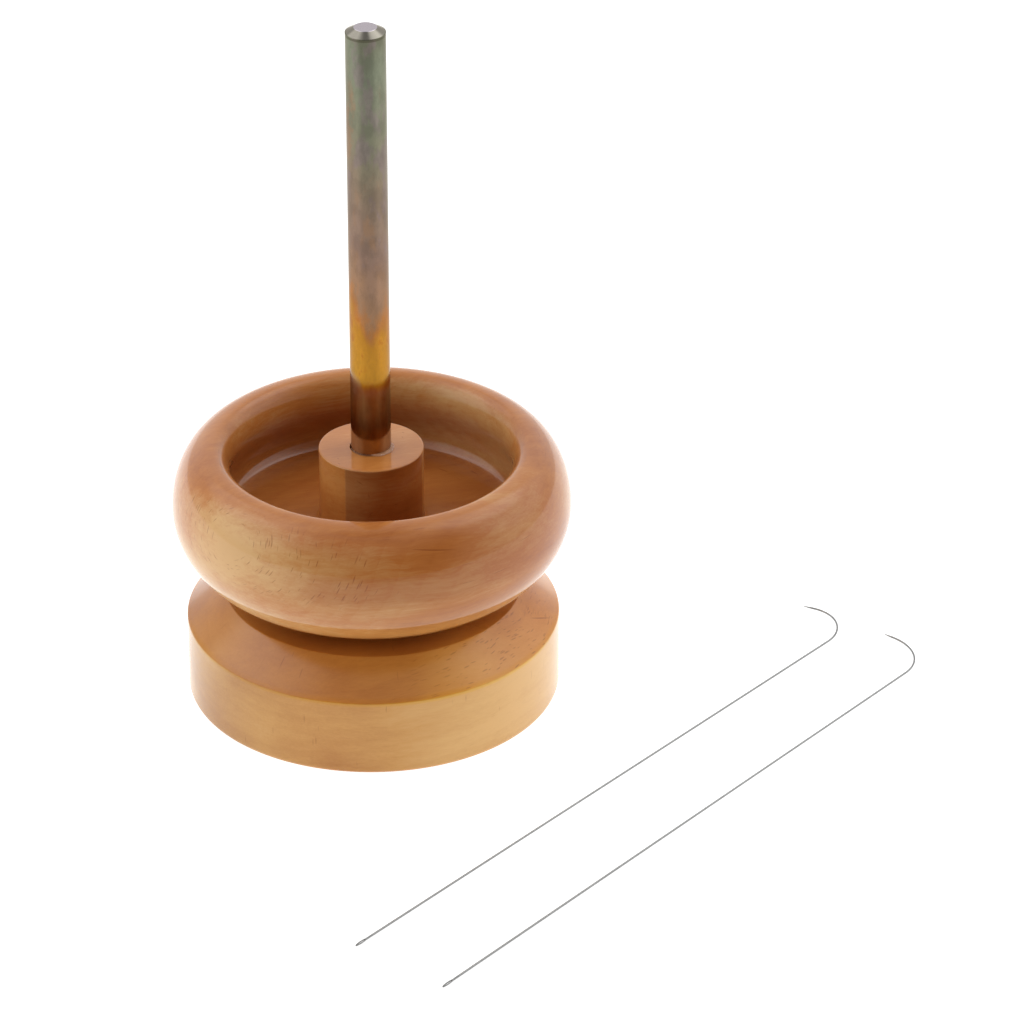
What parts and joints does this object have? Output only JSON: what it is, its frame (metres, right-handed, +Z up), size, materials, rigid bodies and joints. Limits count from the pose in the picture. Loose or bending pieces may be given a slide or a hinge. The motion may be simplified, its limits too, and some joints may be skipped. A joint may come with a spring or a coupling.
{
  "type": "bead spinner",
  "caption": "Turned wooden bowl on a metal spindle that spins on a ball bearing in a chamfered wooden base, with two curved beading needles lying beside it.",
  "frame": {"origin": "centre of the base's underside, on the table", "axes": "+Z up along the spindle; the needles lie on the table in front (-Y) and to the right (+X)"},
  "size_m": [0.1507, 0.1523, 0.145],
  "materials": {
    "base_wood": "clear gloss lacquer on beech",
    "bowl_wood": "clear gloss lacquer on beech",
    "chromated_rod": "yellow zinc chromate, rainbow",
    "clear_glue": "set clear adhesive",
    "spacer_steel": "turned",
    "bearing_steel": "ground",
    "ball_steel": "polished",
    "pressed_steel": "pressed sheet",
    "needle_steel": "drawn and polished wire"
  },
  "bodies": {
    "base": {"base_block": "base_wood", "bearing_outer_ring": "bearing_steel", "bearing_shield_top": "pressed_steel", "bearing_shield_bottom": "pressed_steel"},
    "inner_race": {"bearing_inner_ring": "bearing_steel"},
    "ball_cage": {"bearing_cage_upper": "pressed_steel", "bearing_cage_lower": "pressed_steel", "bearing_ball_1": "ball_steel", "bearing_ball_2": "ball_steel", "bearing_ball_3": "ball_steel", "bearing_ball_4": "ball_steel", "bearing_ball_5": "ball_steel", "bearing_ball_6": "ball_steel", "bearing_ball_7": "ball_steel"},
    "rotor": {"bowl": "bowl_wood", "spindle_rod": "chromated_rod", "glue_bead": "clear_glue", "spacer_sleeve": "spacer_steel"},
    "needle_1_body": {"needle_1": "needle_steel"},
    "needle_2_body": {"needle_2": "needle_steel"}
  },
  "joints": [
    {"name": "bowl_spin", "type": "hinge", "parent": "base", "child": "inner_race", "pos_m": [0, 0, 0.0191], "axis": [0, 0, 1], "continuous": true},
    {"name": "cage_spin", "type": "hinge", "parent": "base", "child": "ball_cage", "pos_m": [0, 0, 0.0191], "axis": [0, 0, 1], "continuous": true},
    {"name": "bowl_lift", "type": "slide", "parent": "inner_race", "child": "rotor", "axis": [0, 0, 1], "range_m": [0, 0.05]},
    {"name": "needle_1_lift", "type": "slide", "parent": "base", "child": "needle_1_body", "axis": [0, 0, 1], "range_m": [0, 0.08]},
    {"name": "needle_2_lift", "type": "slide", "parent": "base", "child": "needle_2_body", "axis": [0, 0, 1], "range_m": [0, 0.08]}
  ],
  "couplings": [
    {"joint": "cage_spin", "follows": "bowl_spin", "ratio": 0.3677}
  ]
}
